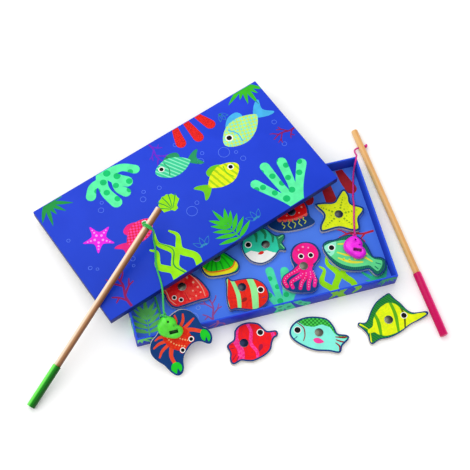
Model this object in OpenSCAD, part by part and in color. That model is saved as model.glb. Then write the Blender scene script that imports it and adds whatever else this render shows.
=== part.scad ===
// Magnetic fishing game: a shallow board tray with its lift-off lid leaning on it, twelve wooden
// sea creature tiles with steel discs, and two wooden rods with a string and a magnetic lure.
// Row frame: X along the tray, Y from its front to its back, Z up. The origin is the middle of
// the tray's underside, on the table. Millimetres.

/* [Tray] */
// Outside length of the tray
tray_length = 310; // [240:5:360]
// Outside width of the tray
tray_width = 160; // [130:5:200]
// Height of the tray's walls
tray_height = 24; // [18:1:36]
// Thickness of the board that the tray and the lid are folded from
board = 2; // [1.5:0.1:3]

/* [Lid] */
// Depth of the lid's skirt, with its top
lid_depth = 10; // [8:1:16]
// Gap between the tray's wall and the lid's skirt when it is closed
lid_gap = 2; // [1:0.5:3]
// Turn of the lid on the table
lid_yaw = 19.5; // [0:0.5:30]
// Where the lid's near skirt crosses the tray's left wall, from the middle
lid_cross = -44; // [-60:1:-20]
// How far the lid runs past the tray's left wall along its near skirt
lid_past = 22.8; // [10:0.1:40]

/* [Tiles] */
// Length of the dotted fish tile; the other tiles are drawn to the same scale
tile_length = 67; // [50:0.5:70]
// Thickness of the wooden tiles
tile_thickness = 5; // [3:0.5:8]
// Diameter of the steel discs
disc_diameter = 10; // [8:0.5:14]
// Thickness of the steel discs
disc_thickness = 1.4; // [1:0.1:2]
// Height of a disc above its tile
disc_proud = 0.6; // [0.2:0.1:1]
// Gap around a disc in its recess
disc_gap = 0.1; // [0.05:0.05:0.3]

/* [Rods] */
// Length of the left rod
left_rod_length = 263; // [200:1:320]
// Length of the right rod
right_rod_length = 281; // [200:1:320]
// Diameter of the wooden dowel
dowel_diameter = 8; // [6:0.5:12]
// Length of the left rod's grip sleeve
left_grip_length = 53; // [40:1:90]
// Length of the right rod's grip sleeve
right_grip_length = 81; // [40:1:100]
// Wall of the grip sleeve
grip_wall = 0.8; // [0.6:0.1:1.5]
// Distance of the string hole from the rod's tip
hole_from_tip = 24; // [12:1:40]
// Diameter of the string hole
hole_diameter = 3; // [2.6:0.1:4]

/* [Strings and lures] */
// Diameter of the strings
string_diameter = 2; // [1.6:0.1:2.4]
// Diameter of the knot behind each string hole
knot_diameter = 4.8; // [4:0.1:6]
// Diameter of the knot at each lure
tie_diameter = 5; // [4:0.1:6]
// Height of a lure's moulded body
lure_height = 8.8; // [7:0.2:12]
// Diameter of the magnet in a lure
magnet_diameter = 9; // [6:0.5:10]
// Thickness of the magnet in a lure
magnet_thickness = 2; // [1:0.5:3]

/* [Hidden] */
$fn = 48;
small = 0.01;
// Parts that rest on each other are kept this far apart
rest = 0.02;
// Gap around a part that slides into another
fit = 0.1;
// Straight pieces that stand for each span of a smooth outline
curve_steps = 4;
string_sides = 8;

function unit(v) = v / norm(v);
function rot_z(a, p) = [cos(a) * p.x - sin(a) * p.y, sin(a) * p.x + cos(a) * p.y, p.z];
function rot_x(a, p) = [p.x, cos(a) * p.y - sin(a) * p.z, sin(a) * p.y + cos(a) * p.z];

// Closed smooth outline through the given points
function span(a, b, c, d, t) =
    0.5 * (2 * b + (c - a) * t + (2 * a - 5 * b + 4 * c - d) * t * t
           + (3 * b - a - 3 * c + d) * t * t * t);
function smooth(p) = let (n = len(p))
    [for (i = [0 : n - 1], k = [0 : curve_steps - 1])
        span(p[(i + n - 1) % n], p[i], p[(i + 1) % n], p[(i + 2) % n], k / curve_steps)];

// Outline of a tile, drawn in millimetres for a dotted fish of 67
tile_unit = tile_length / 67;
function drawn(p) = smooth([for (q = p) tile_unit * q]);

// Outer faces of the tray's walls
left_wall = -tray_length / 2;
right_wall = tray_length / 2;
front_wall = -tray_width / 2;
back_wall = tray_width / 2;
function from_left(x, y, z) = [left_wall + tile_unit * x, front_wall + tile_unit * y, z];
function from_right(x, y, z) = [right_wall - tile_unit * x, front_wall + tile_unit * y, z];

// The lid rests on three points of the tray: its near skirt on the left wall, its right skirt
// on the back wall, and the underside of its top on the back left corner.
lid_inner = [tray_length + 2 * lid_gap, tray_width + 2 * lid_gap];
lid_reach = lid_inner.x - lid_past;
lid_rise = tray_width / 2 - lid_cross;
lid_back = (lid_rise - lid_reach * sin(lid_yaw)) / cos(lid_yaw);
lid_span = lid_reach * cos(lid_yaw) - lid_back * sin(lid_yaw);
lid_axis = atan2(lid_rise, lid_span);
lid_tilt = asin((lid_depth - board) / (lid_rise * cos(lid_axis)));
lid_foot = [left_wall, lid_cross, tray_height + rest];
function lid_point(p) =
    lid_foot + rot_z(lid_axis, rot_x(-lid_tilt, rot_z(lid_yaw - lid_axis, p - [lid_past, 0, 0])));

// The crab tile leans on the tray's front wall with its lowest edge on the table
crab_at = from_left(42, 0, tray_height);
crab_points = drawn([
    [5, 20.5], [-4, 15.5], [-13, 7], [-20, 0], [-25.5, -4], [-29, -10], [-30, -16.5],
    [-28.5, -22], [-24, -28.5], [-18.5, -34], [-15.5, -39], [-12.5, -44], [-8, -48.5],
    [-4, -49.5], [0, -47.5], [2.5, -42.5], [3.5, -35], [5.5, -29], [9.5, -24.5], [16, -19],
    [22, -17], [28, -18], [35, -22.5], [39, -22], [41, -17.5], [41, -11.5], [38, -5.5],
    [33.5, -2.5], [31.5, 2], [29, 10], [23.5, 18], [14, 22.5]]);
crab_low = min([for (p = crab_points) p.y]);
crab_lean = asin(tray_height / -crab_low);
crab_disc = tile_unit * [-5, 7];

// Tiles: where the steel disc lies, the height they lie at, and the outline around the disc
snout_at = from_left(118, -27.5, 0);
snout_points = drawn([
    [4.5, 23], [-2.5, 20.5], [-7, 16], [-8.5, 11], [-11, 6.5], [-17, 4], [-20, 0.5],
    [-18.5, -7.5], [-20.5, -13.5], [-20.5, -19], [-18, -21.5], [-14, -21], [-8.5, -19.5],
    [-2, -22], [4.5, -23.5], [13.5, -22], [22, -19], [28, -14.5], [31.5, -7.5], [35, -3],
    [39, -1.5], [41, 2], [39.5, 5.5], [34, 6.5], [29.5, 7.5], [27, 11], [22.5, 18.5],
    [13.5, 22.5]]);
check_at = from_left(204.5, -37, 0);
check_points = drawn([
    [-31, -1.5], [-21.5, -12], [-10, -20], [4, -24.5], [13.5, -29], [18, -28], [21.5, -22],
    [29, -17.5], [32, -14], [29.5, -10.5], [20.5, -6.5], [19, 2.5], [13.5, 14], [-1.5, 20.5],
    [-15.5, 21.5], [-27.5, 16.5], [-33, 8]]);
longnose_at = from_right(23, -42.5, 0);
longnose_points = drawn([
    [-33.5, -2], [-29.5, -10.5], [-29.5, -21], [-26.5, -23.5], [-17.5, -20.5], [-5, -21],
    [8.5, -18], [23, -12], [36.5, -9], [46, -5.5], [46, -1], [31.5, 1], [25, 6], [20, 16],
    [15, 23.5], [11.5, 30.5], [7.5, 31], [-6.5, 25], [-16, 16.5], [-26, 4], [-34.5, 5.5],
    [-36.5, 2]]);
ray_at = from_left(67, 56, board);
ray_points = drawn([
    [-3.5, 22], [-18.5, 17.5], [-28, 11], [-27, 3], [-22.5, -5], [-21.5, -12], [-18, -20],
    [-12.5, -24], [-5.5, -24], [5, -23], [16, -22], [25, -22], [28.5, -19.5], [29.5, -13.5],
    [26.5, -4], [21.5, 5.5], [15, 13], [10, 23], [4, 24]]);
shell_at = from_left(115, 81, board);
shell_points = drawn([
    [-5.5, 11.5], [-15.5, 5], [-20, -4], [-20.5, -12], [-17.5, -18.5], [-12, -22.5],
    [-1.5, -24], [12, -24.5], [20, -22.5], [23.5, -17], [23, -10.5], [18, -3.5], [11, 5],
    [4, 11.5]]);
red_at = from_left(134, 38, board);
red_points = drawn([
    [-17.5, 5.5], [-20.5, -5.5], [-22, -17.5], [-20, -24.5], [-14, -24], [-3, -28],
    [6.5, -31], [16.5, -29.5], [24.5, -24], [28, -15], [27, -5], [22, 3], [13.5, 8.5],
    [0, 10.5], [-8.5, 11], [-12.5, 15.5], [-16, 14.5]]);
round_at = from_left(175.5, 83, board);
round_points = drawn([
    [-12.5, 24], [-20, 19.5], [-25.5, 11.5], [-28.5, 2], [-26.5, -9.5], [-21.5, -17.5],
    [-12, -22.5], [-2, -21.5], [7, -17], [14, -11.5], [20, -13.5], [22, -11], [20, -3],
    [23.5, 1], [25.5, 6], [22.5, 8.5], [16, 8], [11.5, 12], [5.5, 20], [-4, 24.5]]);
jelly_at = from_left(217, 116, board);
jelly_points = drawn([
    [-32, -6.5], [-29, -14.5], [-18.5, -21.5], [0, -24], [18, -22.5], [23.5, -18.5],
    [20, -11], [20.5, -2], [20.5, 5], [15.5, 14.5], [2.5, 19], [-13, 14], [-25.5, 5]]);
star_at = from_right(39, 99, board);
star_points = drawn([
    [-1.5, 17], [-14, 19.5], [-22.5, 20], [-23.5, 16.5], [-17.5, 3.5], [-25.5, -8], [-27.5, -15],
    [-23, -17.5], [-5.5, -17], [6, -23], [15.5, -26.5], [19.5, -22.5], [21.5, -11.5],
    [29, -5], [31.5, 0], [28, 4], [18.5, 10.5], [19.5, 20], [17.5, 29], [13, 29.5], [5, 22.5]]);
octopus_at = from_left(211, 45.5, board);
octopus_points = drawn([
    [3.5, 29.5], [-5, 26.5], [-10.5, 19], [-12, 9.5], [-11.5, 1], [-18, -2.5], [-26.5, -6],
    [-31, -12.5], [-30, -20], [-24.5, -26], [-16.5, -30], [-6.5, -32.5], [1.5, -33.5],
    [7.5, -30], [11.5, -22.5], [10, -12.5], [10, -5.5], [16, 0], [22.5, 6], [24, 13.5],
    [21, 23], [13, 28.5]]);
dotted_at = from_right(35.5, 53, board);
dotted_points = drawn([
    [-35, 4], [-32, -6.5], [-25.5, -18], [-15, -26], [-1, -30], [9.5, -30.5], [14, -38.5],
    [19, -40.5], [26.5, -37], [31, -30.5], [32, -24], [27.5, -19], [20, -16.5], [18.5, -11],
    [17, -0.5], [12, 10.5], [4, 16.5], [-6, 18], [-17, 16], [-27, 16.5], [-34, 13]]);

// A lure's outline around its magnet, with the string's tab on +Y and the tail on its right
lure_points = smooth([
    [10.2, 0.2], [10.4, 4.4], [8.4, 8.6], [4.8, 11.4], [2, 13.2], [-2, 13.2], [-5.6, 11.2],
    [-10.4, 6.2], [-12.2, 0.4], [-10.6, -5.4], [-4.6, -10.6], [3, -14.2], [8.6, -14.4],
    [13.4, -11.4], [15.2, -6.6], [13.4, -2.4]]);
lure_levels = [[0, 0.94], [0.8, 1], [3.5, 1], [6, 0.93], [7.8, 0.78], [8.8, 0.5]];
lure_tab = 13.5;
lure_axis = 3.5;
lure_bore = 4;
tie_out = tie_diameter / 2 + 2 * rest;

// Rod that leans on the lid's left edge, from its grip end on the table
dowel_r = dowel_diameter / 2;
sleeve_r = dowel_r + grip_wall + small;
grip_edge = 0.4;
lean_along = 22.25;
lean_at = lid_point([-board, lean_along, lid_depth]);
lean_edge = unit(lid_point([0, 1, 0]) - lid_point([0, 0, 0]));
left_reach = 130;
left_front = 39;
left_end = [left_wall - left_reach, front_wall - left_front];
left_slope = atan2(lean_at.z + dowel_r - sleeve_r,
                   norm([lean_at.x - left_end.x, lean_at.y - left_end.y]));
left_foot = [left_end.x, left_end.y,
             sleeve_r * cos(left_slope) - grip_edge * sin(left_slope) + rest];
lean_side = unit(cross(unit(lean_at + [0, 0, dowel_r] - left_foot), lean_edge));
left_way = unit(lean_at + lean_side * (dowel_r + 2 * rest) - left_foot);
// Rod that lies on the table on the rim of its sleeve and on its tip
right_reach = 33;
right_front = 76.8;
right_tip_reach = 14.3;
right_tip_back = 43.9;
right_rise = (sleeve_r - dowel_r) / (right_rod_length - right_grip_length);
right_foot = [right_wall + right_reach, front_wall - right_front,
              sleeve_r + rest + right_rise * right_grip_length];
right_tip = [right_wall + right_tip_reach, back_wall + right_tip_back, dowel_r + rest];
right_way = unit(right_tip - right_foot);

// Strings, from the knot behind the rod to the knot at the lure
left_points = [
    [-115.8, 39.7, 60.1], [-112.2, 35.9, 60.1], [-109.6, 33.2, 60.1], [-108.4, 31.7, 59.4],
    [-107.5, 30.6, 58], [-107.1, 30.1, 55.9], [-107.3, 30.3, 49.9], [-107.5, 30.4, 43.9],
    [-107.6, 30.4, 38.1], [-107.7, 29.9, 34.9], [-107.7, 28.5, 33], [-107.8, 26.3, 32.3],
    [-108, 22.5, 32.4], [-108.9, 17.3, 32.8], [-110.1, 12, 33], [-111.4, 6, 33.3],
    [-112.3, 0, 33.7], [-112.8, -6, 34.1], [-112.8, -12, 34.5], [-112.6, -18, 34.8],
    [-112.6, -24, 35.2], [-112.9, -30, 35.5], [-113.6, -35.8, 35.6], [-114.8, -41.8, 35.4],
    [-116.1, -47.8, 36.4], [-117.2, -53.2, 38.2], [-118.2, -58.2, 40.8], [-118.9, -62.8, 42.6]];
left_tail_points = [
    [-120.5, -64.5, 42.3], [-122, -64.6, 41.2], [-123.1, -64.3, 39.3], [-123.5, -63.9, 36.5],
    [-123.4, -63.3, 31.5], [-122.9, -62.7, 26], [-122.3, -62, 20], [-121.7, -61.3, 14],
    [-121.1, -60.3, 8.8], [-120.7, -58.4, 5.1], [-120.4, -55.2, 3.3], [-120.2, -50, 3.1],
    [-120.2, -44, 3.1], [-120.3, -38, 3.1], [-120.6, -32, 3.1], [-121, -26, 3.1]];
right_points = [
    [175.2, 100.1, 4.1], [169.8, 99.8, 4.1], [164.9, 99.3, 4.2], [162.5, 98, 5.1],
    [160.8, 96.3, 6.8], [159.6, 94, 9.2], [158.5, 91.1, 12.6], [157.5, 88.1, 16.3],
    [156.7, 85.3, 19.9], [156, 82.5, 23.2], [155.4, 80.2, 25], [154.4, 78.2, 25.4],
    [153.3, 75.9, 25.4], [152.2, 73.6, 24.6], [151.2, 71.5, 22.4], [150.6, 70, 18.6],
    [150.2, 68.9, 14.2], [149.8, 67.4, 9.9], [149.2, 65.2, 6.3], [148.3, 62, 3.9],
    [147.1, 58, 3.1], [145.5, 53, 3.1], [143.5, 47, 3.1], [141.4, 41, 3.1],
    [139.7, 36, 4], [138.5, 31.8, 6.4], [137.6, 28.4, 8.1], [136.4, 24, 8.3],
    [134.6, 18, 8.1], [132.6, 12, 8.1], [130.7, 6, 8.1], [129, 0, 8.2],
    [127.7, -4.6, 8.7], [126.7, -8, 9.6], [125.7, -10.7, 10.6]];

// Tube through a list of points, with flat ends
function way(p, i) = unit(p[min(i + 1, len(p) - 1)] - p[max(i - 1, 0)]);
function ring(p, i, side, r) = let (t = way(p, i), u = unit(cross(side, t)), v = cross(t, u))
    [for (k = [0 : string_sides - 1]) let (a = 360 * k / string_sides)
        p[i] + r * (cos(a) * u + sin(a) * v)];
module tube(p, side) {
    n = len(p);
    m = string_sides;
    points = [for (i = [0 : n - 1]) each ring(p, i, side, string_diameter / 2)];
    sides = [for (i = [0 : n - 2], k = [0 : m - 1]) let (a = i * m + k, b = i * m + (k + 1) % m)
        each [[a, b, a + m], [b, b + m, a + m]]];
    low = [[for (k = [0 : m - 1]) m - 1 - k]];
    high = [[for (k = [0 : m - 1]) (n - 1) * m + k]];
    polyhedron(points, concat(low, sides, high), convexity = 6);
}

// Moves a part whose length is along +Z so that it starts at a point and runs a given way
module along(at, way) {
    translate(at)
        rotate([0, acos(way.z), atan2(way.y, way.x)])
            children();
}

// Seat for the end of a string: its floor meets the string's flat end
module string_seat(p, last) {
    n = len(p);
    at = last ? p[n - 1] : p[0];
    next = last ? p[n - 2] : p[1];
    along(at, unit(next - at))
        cylinder(h = 6, r = string_diameter / 2 + fit);
}

module tile(points) {
    difference() {
        linear_extrude(tile_thickness)
            polygon(points);
        translate([0, 0, tile_thickness - disc_thickness + disc_proud])
            cylinder(h = disc_thickness, d = disc_diameter + 2 * disc_gap);
    }
}

module disc() {
    edge = 0.2;
    translate([0, 0, tile_thickness - disc_thickness + disc_proud])
        rotate_extrude()
            polygon([
                [0, 0],
                [disc_diameter / 2, 0],
                [disc_diameter / 2, disc_thickness - edge],
                [disc_diameter / 2 - edge, disc_thickness],
                [0, disc_thickness]]);
}

module on_rim() {
    translate(crab_at)
        rotate([crab_lean, 0, 0])
            translate([0, 0, rest])
                children();
}

module left_lure_frame() {
    on_rim()
        translate([crab_disc.x, crab_disc.y, tile_thickness + disc_proud + rest])
            rotate([0, 0, 4])
                children();
}

module right_lure_frame() {
    translate(dotted_at + [0, 0, tile_thickness + disc_proud + rest])
        rotate([0, 0, -21])
            children();
}

module lure() {
    n = len(lure_points);
    m = len(lure_levels);
    step = lure_height / lure_levels[m - 1][0];
    points = [for (l = lure_levels, p = lure_points) [l[1] * p.x, l[1] * p.y, l[0] * step]];
    sides = [for (i = [0 : m - 2], k = [0 : n - 1]) let (a = i * n + k, b = i * n + (k + 1) % n)
        each [[a, a + n, b], [b, a + n, b + n]]];
    low = [[for (k = [0 : n - 1]) k]];
    high = [[for (k = [0 : n - 1]) m * n - 1 - k]];
    difference() {
        polyhedron(points, concat(low, sides, high), convexity = 6);
        translate([0, 0, -small])
            cylinder(h = magnet_thickness + small + fit / 2, d = magnet_diameter + 2 * fit);
        translate([0, lure_tab - lure_bore, lure_axis])
            rotate([-90, 0, 0])
                cylinder(h = 2 * lure_bore, r = string_diameter / 2 + fit);
        translate([1.2, 6.8, lure_height - 2.6])
            cylinder(h = 4, d = 2.4);
        translate([4.1, -5.8, lure_height - 4.6])
            rotate([0, 0, -4])
                translate([-5, -2, 0])
                    cube([10, 4, 6]);
    }
}

module tie() {
    translate([0, lure_tab + tie_out, lure_axis])
        sphere(d = tie_diameter, $fn = 24);
    translate([0, lure_tab - lure_bore, lure_axis])
        rotate([-90, 0, 0])
            cylinder(h = lure_bore + tie_out, r = string_diameter / 2);
}

module magnet() {
    cylinder(h = magnet_thickness, d = magnet_diameter);
}

// A dowel along +Z from its grip end, with the string hole along Y
module dowel(length) {
    edge = 0.5;
    difference() {
        translate([0, 0, grip_wall])
            rotate_extrude()
                polygon([
                    [0, 0],
                    [dowel_r, 0],
                    [dowel_r, length - grip_wall - edge],
                    [dowel_r - edge, length - grip_wall],
                    [0, length - grip_wall]]);
        translate([0, 0, length - hole_from_tip])
            rotate([90, 0, 0])
                cylinder(h = 3 * dowel_r, d = hole_diameter, center = true);
    }
}

module grip(length) {
    rotate_extrude()
        polygon([
            [0, 0],
            [sleeve_r - grip_edge, 0],
            [sleeve_r, grip_edge],
            [sleeve_r, length],
            [dowel_r + small, length],
            [dowel_r + small, grip_wall],
            [0, grip_wall]]);
}

// The knot sits on the mouth of the string hole, on the side that +1 or -1 names
module knot(side, length) {
    out = dowel_r + sqrt(pow(knot_diameter, 2) - pow(hole_diameter, 2)) / 2 + rest;
    translate([0, side * out, length - hole_from_tip])
        sphere(d = knot_diameter, $fn = 24);
}

module tray() {
    color([0.16, 0.3, 0.86])
        difference() {
            translate([left_wall, front_wall, 0])
                cube([tray_length, tray_width, tray_height]);
            translate([left_wall + board, front_wall + board, board])
                cube([tray_length - 2 * board, tray_width - 2 * board, tray_height]);
        }
}

module lid() {
    color([0.17, 0.32, 0.92])
        translate(lid_foot)
            rotate([0, 0, lid_axis])
                rotate([-lid_tilt, 0, 0])
                    rotate([0, 0, lid_yaw - lid_axis])
                        translate([-lid_past, 0, 0])
                            difference() {
                                translate([-board, -board, 0])
                                    cube([lid_inner.x + 2 * board, lid_inner.y + 2 * board,
                                          lid_depth]);
                                translate([0, 0, -small])
                                    cube([lid_inner.x, lid_inner.y,
                                          lid_depth - board + small]);
                            }
}

module tile_crab() {
    color([0.9, 0.2, 0.12])
        on_rim()
            difference() {
                linear_extrude(tile_thickness)
                    polygon(crab_points);
                translate([crab_disc.x, crab_disc.y, tile_thickness - disc_thickness + disc_proud])
                    cylinder(h = disc_thickness, d = disc_diameter + 2 * disc_gap);
            }
}

module tile_snout_fish() {
    color([0.93, 0.1, 0.25])
        translate(snout_at)
            tile(snout_points);
}

module tile_check_fish() {
    color([0.3, 0.8, 0.5])
        translate(check_at)
            tile(check_points);
}

module tile_longnose_fish() {
    color([0.87, 0.93, 0.05])
        translate(longnose_at)
            tile(longnose_points);
}

module tile_ray() {
    color([0.92, 0.15, 0.18])
        translate(ray_at)
            tile(ray_points);
}

module tile_shell() {
    color([0.2, 0.85, 0.15])
        translate(shell_at)
            tile(shell_points);
}

module tile_red_fish() {
    color([0.88, 0.2, 0.12])
        translate(red_at)
            tile(red_points);
}

module tile_round_fish() {
    color([0.15, 0.75, 0.6])
        translate(round_at)
            tile(round_points);
}

module tile_jelly() {
    color([0.8, 0.12, 0.15])
        translate(jelly_at)
            tile(jelly_points);
}

module tile_star() {
    color([0.85, 0.9, 0.1])
        translate(star_at)
            tile(star_points);
}

module tile_octopus() {
    color([0.95, 0.05, 0.5])
        translate(octopus_at)
            tile(octopus_points);
}

module tile_dotted_fish() {
    color([0.4, 0.85, 0.6])
        translate(dotted_at)
            tile(dotted_points);
}

module steel_discs() {
    color([0.72, 0.73, 0.75]) {
        for (at = [snout_at, check_at, longnose_at, ray_at, shell_at, red_at, round_at,
                   jelly_at, star_at, octopus_at, dotted_at])
            translate(at)
                disc();
        on_rim()
            translate([crab_disc.x, crab_disc.y, 0])
                disc();
    }
}

module left_dowel() {
    color([0.85, 0.66, 0.42])
        along(left_foot, left_way)
            dowel(left_rod_length);
}

module left_grip() {
    color([0.1, 0.62, 0.2])
        along(left_foot, left_way)
            grip(left_grip_length);
}

module left_knot() {
    color([0.1, 0.6, 0.25])
        difference() {
            along(left_foot, left_way)
                knot(1, left_rod_length);
            string_seat(left_points, false);
        }
}

module left_cord() {
    color([0.12, 0.65, 0.25])
        tube(left_points, [1, 0, 0]);
}

module left_tail() {
    color([0.12, 0.65, 0.25])
        tube(left_tail_points, [1, 0, 0]);
}

module left_tie() {
    color([0.12, 0.65, 0.25])
        difference() {
            left_lure_frame()
                tie();
            string_seat(left_points, true);
            string_seat(left_tail_points, false);
        }
}

module left_lure() {
    color([0.25, 0.85, 0.15])
        left_lure_frame()
            lure();
}

module left_magnet() {
    color([0.5, 0.5, 0.52])
        left_lure_frame()
            magnet();
}

module right_dowel() {
    color([0.85, 0.66, 0.42])
        along(right_foot, right_way)
            dowel(right_rod_length);
}

module right_grip() {
    color([0.85, 0.05, 0.4])
        along(right_foot, right_way)
            grip(right_grip_length);
}

module right_knot() {
    color([0.8, 0.05, 0.4])
        difference() {
            along(right_foot, right_way)
                knot(-1, right_rod_length);
            string_seat(right_points, false);
        }
}

module right_cord() {
    color([0.85, 0.1, 0.5])
        tube(right_points, [1, -1, 0]);
}

module right_tie() {
    color([0.85, 0.1, 0.5])
        difference() {
            right_lure_frame()
                tie();
            string_seat(right_points, true);
        }
}

module right_lure() {
    color([0.93, 0.1, 0.85])
        right_lure_frame()
            lure();
}

module right_magnet() {
    color([0.5, 0.5, 0.52])
        right_lure_frame()
            magnet();
}

tray();
lid();
tile_crab();
tile_snout_fish();
tile_check_fish();
tile_longnose_fish();
tile_ray();
tile_shell();
tile_red_fish();
tile_round_fish();
tile_jelly();
tile_star();
tile_octopus();
tile_dotted_fish();
steel_discs();
left_dowel();
left_grip();
left_knot();
left_cord();
left_tail();
left_tie();
left_lure();
left_magnet();
right_dowel();
right_grip();
right_knot();
right_cord();
right_tie();
right_lure();
right_magnet();
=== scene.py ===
from math import atan2, cos, hypot, pi, radians, sin

import bpy
from mathutils import Matrix, Vector
from mathutils.geometry import tessellate_polygon


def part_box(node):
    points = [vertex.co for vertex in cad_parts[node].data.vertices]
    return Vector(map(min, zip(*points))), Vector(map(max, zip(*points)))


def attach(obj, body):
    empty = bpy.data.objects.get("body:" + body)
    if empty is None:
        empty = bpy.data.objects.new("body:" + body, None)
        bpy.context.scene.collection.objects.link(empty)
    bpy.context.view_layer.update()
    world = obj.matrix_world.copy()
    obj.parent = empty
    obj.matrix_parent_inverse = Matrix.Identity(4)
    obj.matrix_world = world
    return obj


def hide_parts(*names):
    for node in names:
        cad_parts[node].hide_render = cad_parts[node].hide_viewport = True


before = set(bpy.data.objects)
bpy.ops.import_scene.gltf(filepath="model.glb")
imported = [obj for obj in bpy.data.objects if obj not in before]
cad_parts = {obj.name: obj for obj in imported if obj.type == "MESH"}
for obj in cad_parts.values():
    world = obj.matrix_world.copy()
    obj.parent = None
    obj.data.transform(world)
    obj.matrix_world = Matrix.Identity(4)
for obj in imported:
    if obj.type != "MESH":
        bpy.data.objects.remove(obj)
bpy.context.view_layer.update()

MM = 0.001
scene = bpy.context.scene
scene.view_settings.view_transform = "Standard"


def link(name, data):
    """A new object in the scene."""
    made = bpy.data.objects.new(name, data)
    scene.collection.objects.link(made)
    return made


def new_mesh(name, verts, faces):
    mesh = bpy.data.meshes.new(name)
    mesh.from_pydata(verts, [], faces)
    mesh.update()
    return mesh


def keep(piece, node=None):
    """Every piece rides on the set's one body; some stand for a CAD node."""
    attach(piece, "root")
    if node:
        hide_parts(node)


# -------- camera
SENSOR, LENS = 36, 95.6
CAMERA_AT = (-0.2288, -0.5383, 1.3473)
CAMERA_RIGHT, CAMERA_UP = Vector((0.9625, -0.2678, 0.0440)), Vector((0.2274, 0.8843, 0.4077))


def make_camera():
    data = bpy.data.cameras.new("camera")
    data.sensor_width, data.lens = SENSOR, LENS
    data.clip_start, data.clip_end = 0.05, 20
    back = CAMERA_RIGHT.cross(CAMERA_UP).normalized()
    up = back.cross(CAMERA_RIGHT).normalized()
    turn = Matrix((CAMERA_RIGHT.normalized(), up, back)).transposed().to_4x4()
    scene.camera = link("camera", data)
    scene.camera.matrix_world = Matrix.Translation(CAMERA_AT) @ turn


make_camera()


# -------- materials
def linear(color):
    """An 8-bit colour as the linear values that a socket takes."""
    return [(c / 255 / 12.92) if c <= 10 else ((c / 255 + 0.055) / 1.055) ** 2.4 for c in color] + [1]


class Finish:
    """A principled material whose nodes are made by short calls."""

    def __init__(self, name, **sockets):
        self.material = bpy.data.materials.new(name)
        self.material.use_nodes = True
        self.tree = self.material.node_tree
        self.tree.nodes.clear()
        out = self.tree.nodes.new("ShaderNodeOutputMaterial")
        self.shader = self.tree.nodes.new("ShaderNodeBsdfPrincipled")
        self.tree.links.new(self.shader.outputs[0], out.inputs[0])
        for key, value in sockets.items():
            self.shader.inputs[key.replace("_", " ")].default_value = value

    def put(self, socket, value):
        if hasattr(value, "links"):
            self.tree.links.new(value, socket)
        else:
            socket.default_value = linear(value) if socket.type == "RGBA" else value

    def node(self, kind, inputs=(), output=0, **settings):
        node = self.tree.nodes.new("ShaderNode" + kind)
        for key, value in settings.items():
            setattr(node, key, value)
        for key, value in dict(inputs).items():
            self.put(node.inputs[key], value)
        return node.outputs[output]

    def stretch(self, where, by):
        return self.node("VectorMath", {0: where, 1: by}, operation="MULTIPLY")

    def place(self, matrix=Matrix(), scale=(1, 1, 1)):
        """Object coordinates in millimetres, in the own frame of the piece that the matrix gives."""
        back = matrix.inverted()
        where = self.node("Mapping", {0: self.node("TexCoord", output=3), 1: back.translation,
                                      2: back.to_euler()}, vector_type="POINT")
        return self.stretch(where, [s / MM for s in scale])

    def axes(self, where):
        return [self.node("SeparateXYZ", {0: where}, output=k) for k in range(3)]

    def noise(self, where, scale, detail, rough=0.5):
        return self.node("TexNoise", {"Vector": where, "Scale": scale, "Detail": detail, "Roughness": rough})

    def math(self, operation, a, b=0.5):
        return self.node("Math", {0: a, 1: b}, operation=operation)

    def plus(self, a, b):
        return self.math("ADD", a, b)

    def times(self, a, b):
        return self.math("MULTIPLY", a, b)

    def below(self, a, b):
        return self.math("LESS_THAN", a, b)

    def steps(self, x, y, turn, step=1.0):
        """How many steps a point lies along a direction at an angle to the first axis."""
        c, s = cos(radians(turn)), sin(radians(turn))
        return self.plus(self.times(x, c / step), self.times(y, s / step))

    def span(self, value, low, high, to_low=0.0, to_high=1.0):
        return self.node("MapRange", {0: value, 1: low, 2: high, 3: to_low, 4: to_high})

    def mix(self, share, a, b):
        return self.node("Mix", {0: share, 6: a, 7: b}, output=2, data_type="RGBA")

    def done(self, color, rough, height, depth, strength):
        """Sets what the shader shows; the bump's depth is in millimetres."""
        bump = self.node("Bump", {"Height": height, "Distance": depth * MM, "Strength": strength})
        for name, value in (("Base Color", color), ("Roughness", rough), ("Normal", bump)):
            self.put(self.shader.inputs[name], value)
        return self.material


def shade(color, share):
    return tuple(min(255, c * share) for c in color)


def ink(name, color, spread=0.05):
    """Printed colour under a thin gloss: faint mottling, fine grain and small changes of gloss.

    The colour is a plain one or a pattern, which is a function of the finish and the place.
    """
    f = Finish(name, Specular_IOR_Level=0.12)
    at = f.place()
    soft, fine = f.noise(at, 0.12, 2), f.noise(at, 2.2, 4, 0.6)
    mottle = f.span(soft, 0.35, 0.65)
    if callable(color):
        base = color(f, at)
        base = f.mix(mottle, f.mix(spread * 2, base, (0, 0, 0)), base)
    else:
        base = f.mix(mottle, shade(color, 1 - spread * 1.6), color)
        base = f.mix(f.times(f.span(fine, 0.3, 0.7), 0.35), base, shade(color, 1 + spread))
    return f.done(base, f.span(fine, 0.25, 0.75, 0.36, 0.5), fine, 0.03, 0.35)


def scales(a, b, size, turn):
    """Rows of fish scales: round cells, each with a darker rim, half a step apart."""
    def pattern(f, at):
        x, y, _ = f.axes(at)
        u, v = f.steps(x, y, turn, size), f.steps(x, y, turn + 90, size)
        far = []
        for shift in (0.0, 0.5):
            p, q = (f.math("SUBTRACT", f.math("FLOORED_MODULO", f.plus(w, shift), 1.0), 0.5) for w in (u, v))
            far.append(f.math("SQRT", f.plus(f.times(p, p), f.times(q, q))))
        return f.mix(f.span(f.math("MINIMUM", *far), 0.24, 0.32), a, b)
    return pattern


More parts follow.
